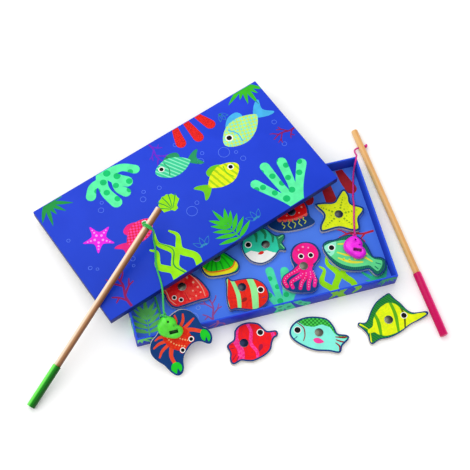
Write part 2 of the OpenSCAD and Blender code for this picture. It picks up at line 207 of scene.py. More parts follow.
def bars(a, b, gap, line, turn, wobble=0.0):
    """Even stripes across a direction, slightly wavy when asked."""
    def pattern(f, at):
        x, y, _ = f.axes(at)
        u = f.steps(x, y, turn, gap)
        if wobble:
            u = f.plus(u, f.times(f.noise(at, 0.2, 1), wobble / gap))
        return f.mix(f.below(f.math("FLOORED_MODULO", u, 1.0), line / gap), a, b)
    return pattern


def flecks(a, b, scale, low):
    def pattern(f, at):
        return f.mix(f.span(f.noise(at, scale, 5, 0.7), low, low + 0.04), a, b)
    return pattern


# -------- outlines
def catmull(a, b, c, d, t):
    return 0.5 * (2 * b + (c - a) * t + (2 * a - 5 * b + 4 * c - d) * t * t
                  + (3 * b - a - 3 * c + d) * t * t * t)


def open_curve(points, step):
    """Points along a smooth curve through the given ones, about a step apart."""
    p = [Vector(q) for q in points]
    p = [2 * p[0] - p[1]] + p + [2 * p[-1] - p[-2]]
    line = []
    for i in range(1, len(p) - 2):
        n = max(1, round((p[i + 1] - p[i]).length / step))
        line += [catmull(p[i - 1], p[i], p[i + 1], p[i + 2], k / n) for k in range(n)]
    return line + [p[-2]]


def blob(points, steps=5):
    """Closed smooth outline through the points."""
    p = [Vector(q) for q in points]
    n = len(p)
    return [tuple(catmull(p[i - 1], p[i], p[(i + 1) % n], p[(i + 2) % n], k / steps))
            for i in range(n) for k in range(steps)]


def turned(points, x, y, way, size=1.0, hand=1):
    """A shape's own points turned by degrees, scaled and moved; hand -1 mirrors them."""
    c, s = cos(radians(way)) * size, sin(radians(way)) * size
    return [(x + c * u - s * v * hand, y + s * u + c * v * hand) for u, v in points]


def around(x, y, radius, degrees):
    return x + radius * cos(radians(degrees)), y + radius * sin(radians(degrees))


def oval(x, y, rx, ry=None, turn=0.0, n=28):
    angles = [2 * pi * k / n for k in range(n)]
    return turned([(rx * cos(a), (ry or rx) * sin(a)) for a in angles], x, y, turn)


STROKE_STEP = 1.2


def stroke(points, widths):
    """Outline of a brush stroke: half widths at its start, middle and end, with round ends."""
    line = open_curve(points, STROKE_STEP)
    last = len(line) - 1
    start, middle, end = widths if hasattr(widths, "__len__") else (widths,) * 3
    left, right = [], []
    for i, p in enumerate(line):
        t = (line[min(i + 1, last)] - line[max(i - 1, 0)]).normalized()
        s = 2 * i / last
        half = start + (middle - start) * s if s < 1 else middle + (end - middle) * (s - 1)
        side = Vector((-t.y, t.x)) * half
        left.append(p + side)
        right.append(p - side)
    ends = []
    for p, q, half in ((line[-1], line[-1] - line[-2], end), (line[0], line[0] - line[1], start)):
        angles = [atan2(q.y, q.x) + pi * (k / 6 - 0.5) for k in range(1, 6)]
        ends.append([p + half * Vector((cos(a), sin(a))) for a in angles])
    return [tuple(p) for p in right + ends[0] + left[::-1] + ends[1]]


def area(loop):
    return sum(a[0] * b[1] - b[0] * a[1] for a, b in zip(loop, loop[1:] + loop[:1])) / 2


NEARLY = 0.985  # how much of the gap a point of an inset outline may keep at least


def inset(loop, gap):
    """The outline moved inwards, without the loops that tight corners would make."""
    p = [Vector(q) for q in (loop if area(loop) > 0 else loop[::-1])]
    n = len(p)
    out = []
    for i in range(n):
        t = (p[(i + 1) % n] - p[i - 1]).normalized()
        q = p[i] + Vector((-t.y, t.x)) * gap
        near = []
        for k in range(n):
            a, e = p[k], p[(k + 1) % n] - p[k]
            s = max(0, min(1, (q - a).dot(e) / max(e.dot(e), 1e-12)))
            near.append((q - a - e * s).length)
        if min(near) > abs(gap) * NEARLY:
            out.append(tuple(q))
    return out


# -------- slabs, from 0 to 1 over an outline
def slab(shape):
    """Closed slab over an outline; a slab stays as it is."""
    if not isinstance(shape, list):
        return shape
    loop = shape if area(shape) > 0 else shape[::-1]
    n = len(loop)
    faces = []
    for a, b, c in tessellate_polygon([[Vector((*q, 0)) for q in loop]]):
        pa, pb, pc = (Vector(loop[k]) for k in (a, b, c))
        if (pb - pa).cross(pc - pa) < 0:
            a, b = b, a
        faces += [(a + n, b + n, c + n), (b, a, c)]
    faces += [(k, (k + 1) % n, (k + 1) % n + n, k + n) for k in range(n)]
    return new_mesh("slab", [(*p, 0) for p in loop] + [(*p, 1) for p in loop], faces)


def combine(a, b, operation):
    """Boolean of two slabs or outlines; for a cut the second reaches past the first."""
    b = slab(b).copy()
    if operation != "UNION":
        b.transform(Matrix.Translation((0, 0, -1)) @ Matrix.Diagonal((1, 1, 3, 1)))
    one, two = link("one", slab(a)), link("two", b)
    cut = one.modifiers.new("cut", "BOOLEAN")
    cut.operation, cut.object, cut.solver = operation, two, "MANIFOLD"
    made = evaluated(one)
    bpy.data.objects.remove(one)
    bpy.data.objects.remove(two)
    made.materials.clear()
    return made


def evaluated(piece):
    """The piece's mesh with its modifiers applied."""
    graph = bpy.context.evaluated_depsgraph_get()
    return bpy.data.meshes.new_from_object(piece.evaluated_get(graph), depsgraph=graph)


def merged(shapes):
    """One slab over an outline, a slab or a list of them, which may overlap."""
    if not isinstance(shapes, list) or isinstance(shapes[0], tuple):
        return slab(shapes)
    made = slab(shapes[0])
    for shape in shapes[1:]:
        made = combine(made, shape, "UNION")
    return made


def both(a, b):
    return combine(a, b, "INTERSECT")


def less(a, b):
    return combine(a, b, "DIFFERENCE")


# -------- frames
def local(x, y, z):
    return Matrix.Translation((x * MM, y * MM, z * MM))


def spin(degrees, axis="Z"):
    return Matrix.Rotation(radians(degrees), 4, axis)


def lean(node):
    """Tilt about X of a leaning plate, from those of its faces that look up."""
    sums = Vector()
    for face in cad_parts[node].data.polygons:
        if face.normal.z > 0.5:
            sums += face.normal * face.area
    return atan2(-sums.y, sums.z)


# The lid's frame: turned to the line of its two lower contacts, tipped about it, turned to its own way.
LID = local(-155, -44, 24.02) @ spin(25.075) @ spin(-4.085, "X") @ spin(19.5 - 25.075) @ local(-22.8, 0, 0)
CRAB_LEAN = lean("tile_crab")
CRAB = local(-113, -80, 24) @ Matrix.Rotation(CRAB_LEAN, 4, "X")


# -------- strings
def cross_frames(line):
    """Side directions along a line that don't twist by themselves."""
    frames, side = [], None
    for i in range(len(line)):
        t = (line[min(i + 1, len(line) - 1)] - line[max(i - 1, 0)]).normalized()
        if side is None:
            side = t.orthogonal().normalized()
        side = (side - t * side.dot(t)).normalized()
        frames.append((side, t.cross(side)))
    return frames


def twisted(name, line, half, pitch, material, sides=18, closed=False):
    """Three-ply string round a line of points in millimetres."""
    verts, along, rows = [], 0.0, len(line)
    for i, (p, (u, v)) in enumerate(zip(line, cross_frames(line))):
        along += (p - line[i - 1]).length if i else 0
        for k in range(sides):
            a = 2 * pi * k / sides
            lobe = abs(cos(1.5 * (a - 2 * pi * along / pitch)))
            r = half * (0.74 + 0.26 * lobe ** 0.7)
            verts.append((p + (cos(a) * u + sin(a) * v) * r) * MM)
    faces = []
    for i in range(rows if closed else rows - 1):
        low, high = i * sides, (i + 1) % rows * sides
        faces += [(low + k, low + (k + 1) % sides, high + (k + 1) % sides, high + k) for k in range(sides)]
    if not closed:
        faces += [tuple(range(sides))[::-1], tuple((rows - 1) * sides + k for k in range(sides))]
    mesh = new_mesh(name, verts, faces)
    mesh.polygons.foreach_set("use_smooth", [True] * len(faces))
    mesh.materials.append(material)
    return link(name, mesh)


def yarn(name, color):
    f = Finish(name, Specular_IOR_Level=0.2, Sheen_Weight=0.25, Sheen_Roughness=0.5)
    fine = f.noise(f.place(), 3.5, 4, 0.7)
    return f.done(f.mix(f.span(fine, 0.3, 0.7), shade(color, 0.72), shade(color, 1.12)),
                  f.span(fine, 0.3, 0.7, 0.6, 0.8), fine, 0.08, 0.6)


STRING_STEP = 0.55
STRING_HALF, KNOT_HALF, TURNS_HALF = 1.12, 0.95, 1.05  # a string's radius is a little less where it is pulled
STRING_PITCH, KNOT_PITCH, TURNS_PITCH = 5.4, 3.1, 4.2  # length of a whole twist of its plies
LEFT_STRING = yarn("left_string", (56, 196, 84))
RIGHT_STRING = yarn("right_string", (232, 22, 148))
LEFT_ROUTE = [
    (-115.8, 39.7, 60.1), (-112.2, 35.9, 60.1), (-109.6, 33.2, 60.1), (-108.4, 31.7, 59.4),
    (-107.5, 30.6, 58), (-107.1, 30.1, 55.9), (-107.3, 30.3, 49.9), (-107.5, 30.4, 43.9),
    (-107.6, 30.4, 38.1), (-107.7, 29.9, 34.9), (-107.7, 28.5, 33), (-107.8, 26.3, 32.3),
    (-108, 22.5, 32.4), (-108.9, 17.3, 32.8), (-110.1, 12, 33), (-111.4, 6, 33.3),
    (-112.3, 0, 33.7), (-112.8, -6, 34.1), (-112.8, -12, 34.5), (-112.6, -18, 34.8),
    (-112.6, -24, 35.2), (-112.9, -30, 35.5), (-113.6, -35.8, 35.6), (-114.8, -41.8, 35.4),
    (-116.1, -47.8, 36.4), (-117.2, -53.2, 38.2), (-118.2, -58.2, 40.8), (-118.9, -62.8, 42.6)]
TAIL_ROUTE = [
    (-120.5, -64.5, 42.3), (-122, -64.6, 41.2), (-123.1, -64.3, 39.3), (-123.5, -63.9, 36.5),
    (-123.4, -63.3, 31.5), (-122.9, -62.7, 26), (-122.3, -62, 20), (-121.7, -61.3, 14),
    (-121.1, -60.3, 8.8), (-120.7, -58.4, 5.1), (-120.4, -55.2, 3.3), (-120.2, -50, 3.1),
    (-120.2, -44, 3.1), (-120.3, -38, 3.1), (-120.6, -32, 3.1), (-121, -26, 3.1)]
RIGHT_ROUTE = [
    (175.2, 100.1, 4.1), (169.8, 99.8, 4.1), (164.9, 99.3, 4.2), (162.5, 98, 5.1),
    (160.8, 96.3, 6.8), (159.6, 94, 9.2), (158.5, 91.1, 12.6), (157.5, 88.1, 16.3),
    (156.7, 85.3, 19.9), (156, 82.5, 23.2), (155.4, 80.2, 25), (154.4, 78.2, 25.4),
    (153.3, 75.9, 25.4), (152.2, 73.6, 24.6), (151.2, 71.5, 22.4), (150.6, 70, 18.6),
    (150.2, 68.9, 14.2), (149.8, 67.4, 9.9), (149.2, 65.2, 6.3), (148.3, 62, 3.9),
    (147.1, 58, 3.1), (145.5, 53, 3.1), (143.5, 47, 3.1), (141.4, 41, 3.1),
    (139.7, 36, 4), (138.5, 31.8, 6.4), (137.6, 28.4, 8.1), (136.4, 24, 8.3),
    (134.6, 18, 8.1), (132.6, 12, 8.1), (130.7, 6, 8.1), (129, 0, 8.2),
    (127.7, -4.6, 8.7), (126.7, -8, 9.6), (125.7, -10.7, 10.6)]


def string(name, node, route, material):
    line = open_curve(route, STRING_STEP)
    piece = twisted(name, line, STRING_HALF, STRING_PITCH, material)
    keep(piece, node)


string("left_string_run", "left_cord", LEFT_ROUTE, LEFT_STRING)
string("left_string_tail", "left_tail", TAIL_ROUTE, LEFT_STRING)
string("right_string_run", "right_cord", RIGHT_ROUTE, RIGHT_STRING)


def knot(name, node, material, count=96):
    """A pulled-tight overhand knot where the CAD has a ball."""
    low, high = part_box(node)
    centre = (low + high) / 2 / MM
    rx, ry, rz = ((s / MM - 2 * KNOT_HALF) / 2 for s in high - low)
    line = []
    for k in range(count):
        t = 2 * pi * k / count
        line.append(centre + Vector(((sin(t) + 2 * sin(2 * t)) / 3 * rx,
                                     (cos(t) - 2 * cos(2 * t)) / 3 * ry, -sin(3 * t) * rz)))
    keep(twisted(name, line, KNOT_HALF, KNOT_PITCH, material, sides=14, closed=True), node)


for side_name, string_yarn in (("left", LEFT_STRING), ("right", RIGHT_STRING)):
    knot(side_name + "_rod_knot", side_name + "_knot", string_yarn)
    knot(side_name + "_lure_knot", side_name + "_tie", string_yarn)


# -------- board of the tray and the lid
SHARP = 38  # degrees between faces from which an edge is shaded sharp


def dressed(name, node, material, edge=0.0, angle=50, segments=2):
    """The CAD solid with its sharp edges rounded a little; the edge is in millimetres."""
    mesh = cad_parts[node].data.copy()
    mesh.materials.clear()
    mesh.materials.append(material)
    piece = link(name, mesh)
    piece.modifiers.new("weld", "WELD").merge_threshold = 0.01 * MM
    if edge:
        bevel = piece.modifiers.new("bevel", "BEVEL")
        bevel.width, bevel.segments = edge * MM, segments
        bevel.limit_method, bevel.angle_limit = "ANGLE", radians(angle)
    piece.data = evaluated(piece)
    piece.modifiers.clear()
    piece.data.name = name
    piece.data.shade_smooth()
    piece.data.set_sharp_from_angle(angle=radians(SHARP))
    keep(piece, node)
    return piece


TRAY_X, TRAY_Y = 153.6, 78.6  # half sizes that hold the tray's inner faces and leave out its outer ones
LID_X, LID_Y, LID_Z, LID_LOW = 315.6, 165.6, 9, -1.6  # limits that hold the lid's inner faces alone


def tray_board():
    """Blues of the floor, the walls' inner and outer faces and their rims, with painted shade on the floor
    and walls and a painted highlight on the rims; pale board below.
    """
    f = Finish("tray_board", Specular_IOR_Level=0.14)
    at = f.place()
    x, y, z = f.axes(at)
    fine, soft = f.noise(at, 1.6, 4, 0.6), f.noise(at, 0.03, 2)
    # Painted shade: the floor is darker towards the back and towards the right, where the lid and walls shade
    # it.
    floor = f.mix(f.span(f.plus(y, f.times(f.span(soft, 0.3, 0.7), 26)), -70, 40),
                  (68, 120, 236), (84, 136, 248))
    floor = f.mix(f.span(x, 20, 130), floor, (66, 118, 228))
    # Painted shade: the inner and outer faces of the walls darken towards the bottom.
    wall = f.mix(f.span(z, 3, 24), (22, 48, 164), (34, 72, 206))
    outside = f.mix(f.span(z, 0, 22), (8, 40, 160), (12, 54, 206))
    inside = f.times(f.below(f.math("ABSOLUTE", x), TRAY_X), f.below(f.math("ABSOLUTE", y), TRAY_Y))
    color = f.mix(inside, outside, wall)
    color = f.mix(f.times(inside, f.below(z, 2.3)), color, floor)
    # Painted highlight: a lighter band along the top of the rims.
    color = f.mix(f.times(f.span(z, 23.3, 23.9), 0.8), color, (40, 84, 224))
    color = f.mix(f.below(z, 0.4), color, (196, 190, 178))
    return f.done(color, f.span(fine, 0.3, 0.7, 0.34, 0.46), fine, 0.04, 0.35)


def lid_board():
    """Blues of the top and the skirt, the skirt in painted shade; pale board within."""
    f = Finish("lid_board", Specular_IOR_Level=0.14)
    at = f.place(LID)
    x, y, z = f.axes(at)
    fine, soft = f.noise(at, 1.6, 4, 0.6), f.noise(at, 0.02, 2)
    # The top grows lighter towards its far right corner.
    top = f.mix(f.span(f.plus(f.times(x, 0.55), y), 60, 330), (18, 60, 198), (37, 68, 222))
    top = f.mix(f.times(f.span(soft, 0.4, 0.6), 0.3), top, (16, 52, 190))
    # Painted shade: the skirt is much darker than the top, and darkest at its lower edge.
    skirt = f.mix(f.span(z, 0, 9), (8, 18, 92), (14, 32, 136))
    color = f.mix(f.span(z, 9.3, 9.8), skirt, top)
    within = f.times(f.math("GREATER_THAN", x, LID_LOW), f.math("GREATER_THAN", y, LID_LOW))
    for value, limit in ((x, LID_X), (y, LID_Y), (z, LID_Z)):
        within = f.times(within, f.below(value, limit))
    return f.done(f.mix(within, color, (206, 200, 188)), f.span(fine, 0.3, 0.7, 0.32, 0.44), fine, 0.04, 0.35)


dressed("tray_body", "tray", tray_board(), edge=0.6)
dressed("lid_body", "lid", lid_board(), edge=0.8, segments=3)


# -------- print
LAYER = 0.05
NAVY = ink("navy_ink", (8, 58, 122))
WHITE = ink("white_ink", (250, 250, 246), 0.02)
BLACK = ink("black_ink", (8, 8, 12), 0.3)


class Print:
    """Thin printed fields on one surface, as one closed-mesh piece; base is the surface's height."""

    def __init__(self, name, slot, matrix, base, figure):
        self.name, self.slot, self.matrix, self.base, self.figure = name, slot, matrix, base, figure
        self.verts, self.faces, self.kinds, self.materials = [], [], [], []

    def add(self, shape, level, material):
        """One colour over the shape, as thick as a layer, on the given number of layers."""
        flat = slab(shape)
        low, high = self.base + LAYER * level, self.base + LAYER * (level + 1)
        start = len(self.verts)
        self.verts += [(v.co.x, v.co.y, low if v.co.z < 0.5 else high) for v in flat.vertices]
        self.faces += [[start + k for k in f.vertices] for f in flat.polygons]
        if material not in self.materials:
            self.materials.append(material)
        self.kinds += [self.materials.index(material)] * len(flat.polygons)

    def field(self, shapes, level, material):
        """One colour over the shapes, kept inside the figure."""
        self.add(both(self.figure, merged(shapes)), level, material)

    def strokes(self, lines, widths, level, material):
        self.field([stroke(line, widths) for line in lines], level, material)

    def spots(self, shapes, places, level, material):
        """Dots, each with its own radius, kept inside the shapes."""
        self.field(both(merged(shapes), merged([oval(*place) for place in places])), level, material)

    def dots(self, places, radius, level, material):
        """Dots that keep clear of each other; the radius may change along the row."""
        for k, (x, y) in enumerate(places):
            self.add(oval(x, y, radius[k] if hasattr(radius, "__len__") else radius, n=18), level, material)

    def eye(self, x, y, white, black, level=5):
        self.add(less(oval(x, y, white), oval(x, y, black)), level, WHITE)
        self.add(oval(x, y, black), level, BLACK)

    def done(self):
        mesh = new_mesh(self.name, [[c * MM for c in v] for v in self.verts], self.faces)
        for material in self.materials:
            mesh.materials.append(material)
        mesh.polygons.foreach_set("material_index", self.kinds)
        piece = link(self.name, mesh)
        piece.matrix_world = self.matrix
        keep(piece)


# -------- tiles
TILE_TOP = 5.0
HOLE_RADIUS, HOLE_GAP = 5.1, 0.12  # round a disc; the print stops a little short of it
EDGE = 0.2  # how far the tiles' edges are rounded
INKED = 4.7  # the wood itself is inked above this height: its face and the rounding round it


def tile_wood():
    f = Finish("tile_wood", Specular_IOR_Level=0.25)
    at = f.place(scale=(0.5, 0.5, 4))
    grain, fine = f.noise(at, 0.5, 4, 0.6), f.noise(at, 3, 3, 0.6)
    return f.done(f.mix(f.span(grain, 0.3, 0.7), (176, 166, 156), (226, 222, 216)),
                  f.span(fine, 0.3, 0.7, 0.45, 0.6), grain, 0.1, 0.5)


TILE_WOOD = tile_wood()


def top_loops(node, matrix):
    """Outlines of a tile's top face in its own frame, the longest first."""
    mesh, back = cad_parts[node].data, matrix.inverted()
    at = [back @ v.co / MM for v in mesh.vertices]
    key = [(round(p.x, 2), round(p.y, 2)) for p in at]
    edges = {}
    for face in mesh.polygons:
        if all(abs(at[k].z - TILE_TOP) < 0.03 for k in face.vertices):
            ids = list(face.vertices)
            for a, b in zip(ids, ids[1:] + ids[:1]):
                if (key[b], key[a]) in edges:
                    del edges[key[b], key[a]]
                elif key[a] != key[b]:
                    edges[key[a], key[b]] = 1
    after, loops = dict(edges.keys()), []
    while after:
        point, loop = next(iter(after)), []
        while point in after:
            loop.append(point)
            point = after.pop(point)
        loops.append(loop)
    return sorted(loops, key=lambda q: -abs(area(q)))


class Tile(Print):
    """A tile's wood and its print, whose outline comes from the CAD solid."""

    def __init__(self, kind, matrix, border):
        node = "tile_" + kind
        outline, *holes = top_loops(node, matrix)
        hole = slab(inset(holes[0] if holes else oval(0, 0, HOLE_RADIUS), -HOLE_GAP))
        wood = dressed(node + "_wood", node, TILE_WOOD, EDGE, angle=60).data
        wood.materials.append(NAVY)
        back = matrix.inverted()
        for face in wood.polygons:
            if (back @ face.center).z > INKED * MM:
                face.material_index = 1
        super().__init__(node + "_print", "tile_wood", matrix, TILE_TOP, None)
        self.kind = kind
        self.add(less(inset(outline, EDGE), hole), 0, NAVY)
        self.figure = less(inset(outline, border), hole)

    def ink(self, name, color, spread=0.05):
        return ink(self.kind + "_" + name, color, spread)

    def fill(self, material):
        self.add(self.figure, 1, material)


def tile(matrix, border=2.0):
    """Decorates a function that prints the tile of its own name, and runs it."""
    def run(draw):
        t = Tile(draw.__name__, matrix, border)
        draw(t)
        t.done()
    return run


def leaf(x, y, way, length, half):
    """A pointed leaf from its foot."""
    side = [(k / 9 * length, half * sin(pi * (k / 9) ** 0.8) ** 0.9) for k in range(1, 9)]
    return turned([(0, 0)] + side + [(length, 0)] + [(u, -v) for u, v in side[::-1]], x, y, way)


@tile(CRAB @ local(0, 0, 0.02))
def crab(t):
    red = t.ink("shell", flecks((226, 34, 10), (238, 62, 22), 0.5, 0.5))
    leg = t.ink("leg", (236, 70, 40))
    green = t.ink("claw", (26, 206, 40))
    pale = t.ink("pale", (255, 170, 110))
    body = oval(2.5, -7, 18.5, 13.5, -45, 40)
    arms = [stroke([(12, -1), (21, -2.5), (31, -7)], (2.6, 2.2, 2)),
            stroke([(-6, -17), (-8.5, -26), (-6.5, -35)], (2.6, 2.2, 2))]
    legs = [[(3, 5), (5.5, 12), (5, 18)], [(8, 3), (13, 10), (14.5, 17)], [(12, 1), (20, 6), (25, 9.5)],
            [(-9, -3), (-17, -2.5), (-22, -4.5)], [(-10, -8), (-19, -9.5), (-25.5, -13)],
            [(-9, -13), (-17, -18), (-21.5, -24.5)]]
    t.field([stroke(line, (1.9, 1.7, 1)) for line in legs] + arms, 1, leg)
    t.field(body, 2, red)
    for line in ([(-9.5, 1), (-7, -7.5), (0, -15), (8.5, -18.5)],
                 [(-4.5, 5), (-1, -2.5), (5.5, -9), (13.5, -13)]):
        t.dots(open_curve(line, 3.4), 0.95, 3, pale)
    for claw, cut in ((oval(34, -12.5, 5.4, 7.8, 12), [(34.5, -13.5), (30.5, -23), (37, -24)]),
                      (oval(-5.5, -40.5, 6.2, 6.6), [(-4.5, -41), (0, -50), (-8, -51)])):
        t.field(less(claw, cut), 2, green)
    for x, y in ((17.5, -12.5), (5.5, -22.5)):
        t.field(oval(x, y, 3.7), 3, red)
        t.eye(x, y, 3.136, 2.176)


@tile(local(-37, -107.5, 0))
def snout_fish(t):
    t.fill(t.ink("red", flecks((248, 16, 22), (232, 14, 40), 0.3, 0.52)))
    pink = t.ink("pink", flecks((248, 30, 132), (252, 74, 158), 0.4, 0.5))
    t.field([stroke([(-3, 24), (-8.5, 8), (-6, -8), (-10, -24)], (4.2, 3.6, 4.2)),
             stroke([(8.5, 26), (11.5, 12), (7.5, -2), (11.5, -14), (9, -26)], (1.6, 2.1, 1.6)),
             stroke([(34, 8), (35, 2), (34, -4)], 2.2)], 2, pink)
    rays = t.ink("ray", (166, 8, 60))
    t.strokes([[(-18, 2.5), (-13, 1)], [(-17.5, -3), (-12.5, -3)], [(-18, -16.5), (-12.5, -11.5)],
               [(-14, -19), (-10, -14)]], 0.5, 3, rays)
    t.field(leaf(19.5, -6, 235, 9.5, 2.4), 3, rays)
    t.eye(21.5, 7.5, 4.256, 3.2)


@tile(local(49.5, -117, 0))
def check_fish(t):
    t.fill(t.ink("aqua", (132, 240, 220), 0.03))
    t.field([(-40, 40), (-22, 21), (-14, 12), (-4, 8), (6, 8.5), (14, 3), (17, -6), (24, -14), (60, -20),
             (60, 60)], 2, t.ink("green", scales((70, 206, 76), (22, 134, 40), 4.6, -18)))
    wine = t.ink("wine", (150, 20, 40))
    t.strokes([[(17, -10), (24, -12.5), (29, -13)], [(15, -17), (18, -22), (16.5, -27)],
               [(16.5, -13.5), (21.5, -17), (24, -18)]], (0.6, 1, 0.8), 3, wine)
    t.strokes([[(-21, 18), (-15.5, 10), (-16.5, 1), (-20, -5)]], (0.5, 0.7, 0.5), 3, wine)
    t.field(leaf(-9, -6.5, -28, 13, 3.4), 3, t.ink("pink", (250, 66, 160)))
    t.eye(-23, 9, 4.368, 3.584)
    t.strokes([[(-30.5, 0), (-27.5, 0.6), (-25.5, 2)]], 0.4, 3, NAVY)


@tile(local(132, -122.5, 0), 1.3)
def longnose_fish(t):
    t.fill(t.ink("fin", bars((16, 106, 56), (40, 150, 40), 2.6, 1.3, 40)))
    yellow = t.ink("yellow", flecks((236, 246, 6), (216, 240, 12), 0.2, 0.5))
    body = blob([(-27, -6), (-20.5, -3), (-17, 5), (-11, 12), (-3, 17.5), (6, 20), (13, 17), (18, 10),
                 (22.5, 3.5), (28, -0.5), (36, -1.2), (44, -2.4), (44.5, -4.4), (36, -7.2), (26, -10.5),
                 (14, -14.5), (2, -17.6), (-9, -17.8), (-17, -14), (-20.5, -10.5), (-27, -10)])
    t.field(body, 2, yellow)
    inside = both(t.figure, body)
    bands = [stroke([(-14, 12), (-12.5, 0), (-14.5, -18)], (1.6, 2.1, 1.4)),
             stroke([(8, 22), (9.5, 4), (6.5, -18)], (1.6, 2.1, 1.4))]
    t.add(both(inside, merged(bands)), 3, t.ink("band", (92, 176, 20)))
    t.strokes([[(-34, 3), (-29, -2), (-26, -6)], [(-28, -21), (-26.5, -14), (-25.5, -9.5)]],
              (0.9, 0.7, 0.4), 3, yellow)
    t.add(both(inside, stroke([(18, 14), (19, 0), (15.5, -14)], (1.1, 1.3, 0.9))), 3,
          t.ink("olive", (96, 112, 8)))
    t.eye(18.8, 0.5, 3.92, 3.2)


@tile(local(-88, -24, 2))
def ray(t):
    t.fill(t.ink("red", flecks((248, 22, 32), (248, 62, 52), 0.12, 0.5)))
    pale = t.ink("pale", (255, 176, 150))
    t.strokes([[(9, 17), (17, 6), (22, -7), (23, -18)], [(-24, 8), (-19, -2), (-17.5, -12), (-12, -20)]],
              (0.3, 0.55, 0.3), 2, pale)
    t.dots([(14, 2), (17.5, -5), (19, -12), (8.5, 9.5), (11, -8), (13, -15), (5.5, -17), (3.5, 13)],
           (1.3, 1.2, 1.1, 1.2, 1.0, 1.0, 0.9, 0.9), 2, pale)
    t.strokes([[(-3.5, 17), (-1, 9)], [(1.5, -8), (3.5, -19)]], (0.3, 0.5, 0.3), 2,
              t.ink("line", (190, 10, 30)))
    t.eye(-12, -11, 2.8, 2.048)
    t.eye(-5, -15.5, 2.8, 2.048)


@tile(local(-40, 1, 2))
def shell(t):
    t.fill(t.ink("green", (24, 220, 20)))
    ribs = [[(-3, 8), (-12, -6), (-18.5, -15)], [(-2, 8), (-8, -9), (-12.5, -21)],
            [(-1, 8), (-3, -10), (-5, -22)], [(1, 8), (3.5, -10), (4.5, -22)],
            [(2.5, 8), (10.5, -9), (13.5, -22)], [(4, 8), (15.5, -6), (20.5, -16)]]
    t.strokes(ribs, (0.35, 0.7, 0.9), 2, t.ink("rib", (10, 160, 24)))
    t.strokes([[(-20, -9), (-15.5, -16.5), (-6, -19.2), (8, -19.6), (17, -17.2), (22.5, -9)]],
              (2.4, 3.4, 2.4), 3, t.ink("lip", (248, 234, 24)))
    t.strokes([[(-17, -11), (-13, -15), (-5, -17), (8, -17.4), (15.5, -15), (20, -9)]], (0.6, 0.9, 0.6), 4,
              t.ink("orange", (244, 96, 20)))


@tile(local(-21, -42, 2), 1.4)
def red_fish(t):
    t.fill(t.ink("red", flecks((240, 36, 12), (224, 26, 18), 0.3, 0.52)))
    mint = t.ink("mint", (150, 240, 150), 0.03)
    t.strokes([[(10, 16), (12.5, -2), (11.5, -14), (7, -34)]], (3.2, 4.1, 3.4), 2, mint)
    t.strokes([[(-9.5, 14), (-7, -3), (-7.5, -14), (-10.5, -28)]], (1.9, 2.6, 2), 2, mint)
    t.strokes([[(-21, -20), (-20.5, -8), (-16.5, 6), (-14, 14)]], (0.9, 1, 0.9), 2, mint)
    t.field(leaf(2, -14, 205, 8.5, 2.2), 3, t.ink("fin", (150, 24, 18)))
    t.eye(20, -8.5, 4.144, 3.2)
    t.strokes([[(22.5, -17.5), (20.5, -18.6), (18.8, -18.4)]], 0.4, 3, NAVY)


@tile(local(20.5, 3, 2), 1.4)
def round_fish(t):
    t.fill(t.ink("teal", (40, 210, 170)))
    t.field([(-60, -12), (-29, -6), (-19, -3.5), (-10, -8), (-1, -7.5), (6, -12), (16, -16), (16, -60),
             (-60, -60)], 2, t.ink("belly", (248, 250, 246), 0.02))
    dark = t.ink("dark", bars((22, 126, 86), (48, 160, 100), 1.7, 0.6, 20))
    t.strokes([[(-12.5, 25), (-8, 15), (-9.5, 6)], [(-2.5, 25), (3, 14), (1.5, 7.5)],
               [(7.5, 20), (11, 9), (9, 1)]], (2.1, 2, 1), 3, dark)
    t.field([(13, 14), (14.5, 2), (13, -14), (40, -24), (40, 20)], 3, dark)
    t.strokes([[(17, 4), (22.5, 6)], [(17, -4), (20, -10)]], 0.5, 4, t.ink("tail", (120, 226, 150)))
    t.field(leaf(-4.5, -8.5, 190, 8, 2), 4, t.ink("fin", (222, 40, 30)))
    t.eye(-20, 4.5, 4.144, 3.072)


@tile(local(62, 36, 2))
def jelly(t):
    red = t.ink("red", flecks((236, 14, 16), (214, 12, 18), 0.3, 0.55))
    dome = blob([(-20, -4), (-19, 3), (-11, 11), (0, 15.5), (10, 15.8), (17, 10), (18.5, 2), (17.5, -5),
                 (11, -7.5), (4, -8.5), (-4, -8.5), (-13, -7.5)])
    t.field(dome, 2, red)
    rim = ((-16.5, -6.5), (-10.5, -8), (-4, -9), (2.6, -9), (9, -8.2), (14.8, -6.6))
    t.field([oval(x, y, 3.1, n=20) for x, y in rim], 1, t.ink("rim", (250, 96, 84)))
    t.dots([(-12, 1), (-8.5, 7), (9, 9), (13.5, 3), (8.5, -3.5), (-7, -3.5)], (1.3, 1.1, 1.4, 1.2, 1, 1), 3,
           t.ink("pale", (255, 160, 140)))
    line = t.ink("line", (206, 222, 60))
    for k, x in enumerate((-14, -7.5, -1, 5.5, 12)):
        sway = 1.3 if k % 2 else -1.3
        low = -20.5 if k in (1, 2, 3) else -18.5
        t.strokes([[(x, -10.5), (x + sway, -13), (x - sway, -16), (x + sway, low)]], 0.5, 2, line)


@tile(local(116, 19, 2), 2.2)
def star(t):
    t.fill(t.ink("yellow", flecks((226, 242, 14), (202, 226, 22), 0.7, 0.54)))
    tips = [(-22.5, 17.5), (15.5, 27.5), (28.5, 0), (15.5, -23.5), (-24, -14)]
    rim = t.ink("olive", (140, 176, 20))
    for x, y in tips:
        far = hypot(x, y)
        row = [(x / far * d, y / far * d) for d in (8.6, 12.4, 16, 19.4, 22.4) if d < far - 3]
        t.dots(row, [1.35 - 0.16 * k for k in range(len(row))], 2, rim)
    for k in range(5):
        a, b = Vector(tips[k]), Vector(tips[(k + 1) % 5])
        t.dots([(a.normalized() + b.normalized()).normalized() * 9.4], 0.8, 2, rim)


